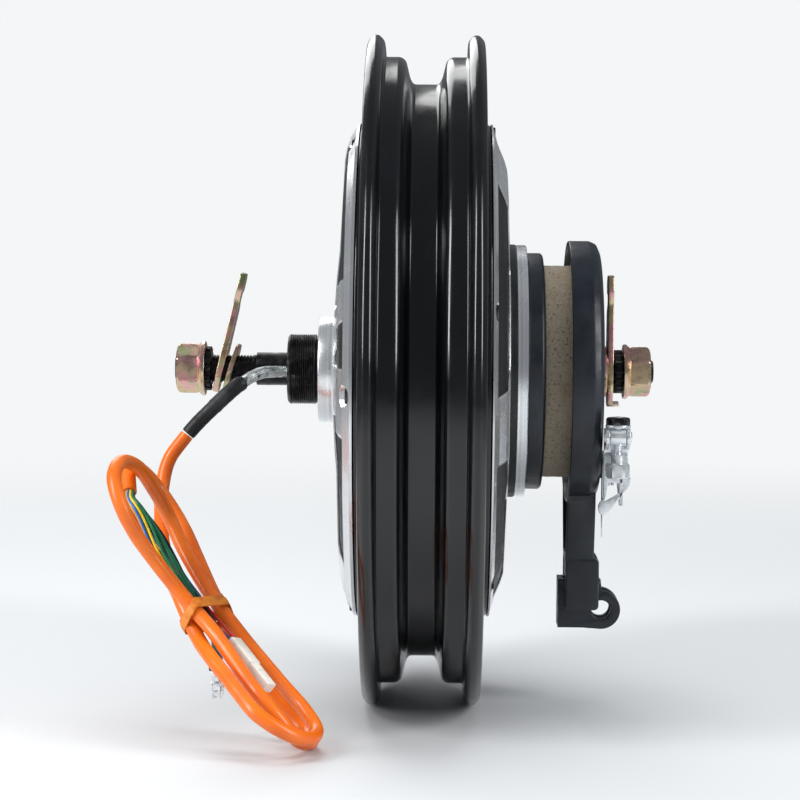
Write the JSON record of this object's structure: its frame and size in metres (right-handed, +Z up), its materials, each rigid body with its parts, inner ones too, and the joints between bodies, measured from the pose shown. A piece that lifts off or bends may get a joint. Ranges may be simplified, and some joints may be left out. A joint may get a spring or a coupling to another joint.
{
  "type": "hub motor wheel",
  "caption": "Direct drive hub motor in a wide tubeless scooter rim, with axle hardware, a covered band brake with a reaction arm, and a coiled motor cable.",
  "frame": {"origin": "middle of the axle, on the axle's centreline", "axes": "+Y along the axle towards the brake, +Z up, +X towards the front as the wheel is seen edge-on"},
  "size_m": [0.332, 0.2585, 0.332],
  "materials": {
    "black_paint": "gloss",
    "black_cast": "satin",
    "machined_aluminium": "polished",
    "bare_aluminium": "satin",
    "zinc_steel": "satin",
    "bright_steel": "polished",
    "black_steel": "satin",
    "lamination_steel": "satin",
    "cast_iron": "rough",
    "copper_wire": "gloss",
    "magnet": "polished",
    "friction_lining": "rough",
    "circuit_board": "satin",
    "rubber_black": "matte",
    "orange_pvc": "gloss",
    "braid": "satin",
    "shrink_black": "satin",
    "wire_insulation": "satin",
    "white_nylon": "satin",
    "rubber_amber": "satin"
  },
  "bodies": {
    "axle_assembly": {"axle": "black_steel", "stator_carrier": "bare_aluminium", "stator_core": "lamination_steel", "stator_windings": "copper_wire", "hall_sensor_board": "circuit_board", "left_bearing_inner_race": "bright_steel", "right_bearing_inner_race": "bright_steel", "left_axle_washer": "zinc_steel", "left_torque_arm": "zinc_steel", "left_spring_washer": "black_steel", "left_axle_nut": "zinc_steel", "right_axle_washer": "zinc_steel", "right_torque_arm": "zinc_steel", "right_spring_washer": "black_steel", "right_axle_nut": "zinc_steel", "brake_housing": "black_cast", "anchor_clevis": "black_cast", "brake_band": "bright_steel", "brake_lining": "friction_lining", "band_anchor_pin": "bright_steel", "return_spring": "bright_steel", "cable_sleeve": "braid", "heat_shrink": "shrink_black", "motor_cable": "orange_pvc", "cable_hank": "orange_pvc", "wire_bundle": "wire_insulation", "hall_connector": "white_nylon", "wire_terminals": "bright_steel", "rubber_band": "rubber_amber"},
    "wheel": {"rim": "black_paint", "rotor_yoke": "lamination_steel", "magnet_ring": "magnet", "left_cover": "machined_aluminium", "right_cover": "machined_aluminium", "left_bearing_outer_race": "bright_steel", "right_bearing_outer_race": "bright_steel", "freewheel_thread_adapter": "black_steel", "left_shaft_seal": "rubber_black", "right_shaft_seal": "rubber_black", "drum_spacer_ring": "black_cast", "brake_drum": "cast_iron", "left_cover_screw_1": "black_steel", "left_cover_screw_2": "black_steel", "left_cover_screw_3": "black_steel", "left_cover_screw_4": "black_steel", "left_cover_screw_5": "black_steel", "right_cover_screw_1": "black_steel", "right_cover_screw_2": "black_steel", "right_cover_screw_3": "black_steel", "right_cover_screw_4": "black_steel", "right_cover_screw_5": "black_steel"},
    "left_cage": {"left_ball_cage": "bright_steel"},
    "right_cage": {"right_ball_cage": "bright_steel"},
    "brake_lever_group": {"cam_shaft": "bright_steel", "brake_lever": "bright_steel", "wear_indicator": "bright_steel"},
    "cable_anchor": {"anchor_trunnion": "bright_steel", "anchor_bolt": "bright_steel", "anchor_nut": "black_steel"}
  },
  "joints": [
    {"name": "wheel_spin", "type": "hinge", "parent": "axle_assembly", "child": "wheel", "pos_m": [0, 0.0049, 0], "axis": [0, 1, 0], "continuous": true},
    {"name": "left_cage_spin", "type": "hinge", "parent": "axle_assembly", "child": "left_cage", "pos_m": [0, -0.0333, 0], "axis": [0, 1, 0], "continuous": true},
    {"name": "right_cage_spin", "type": "hinge", "parent": "axle_assembly", "child": "right_cage", "pos_m": [0, 0.0431, 0], "axis": [0, 1, 0], "continuous": true},
    {"name": "brake_lever_turn", "type": "hinge", "parent": "axle_assembly", "child": "brake_lever_group", "pos_m": [0.02913, 0.0949, -0.04319], "axis": [0, 1, 0], "range_deg": [0, 18], "stiffness_Nm_per_rad": 0.5, "springref_deg": -20.05, "deforming": ["return_spring"]},
    {"name": "cable_anchor_swivel", "type": "hinge", "parent": "brake_lever_group", "child": "cable_anchor", "pos_m": [0.062, 0.0978, -0.028], "axis": [0, 1, 0], "range_deg": [-30, 14]}
  ],
  "couplings": [
    {"joint": "left_cage_spin", "follows": "wheel_spin", "ratio": 0.6},
    {"joint": "right_cage_spin", "follows": "wheel_spin", "ratio": 0.6}
  ]
}
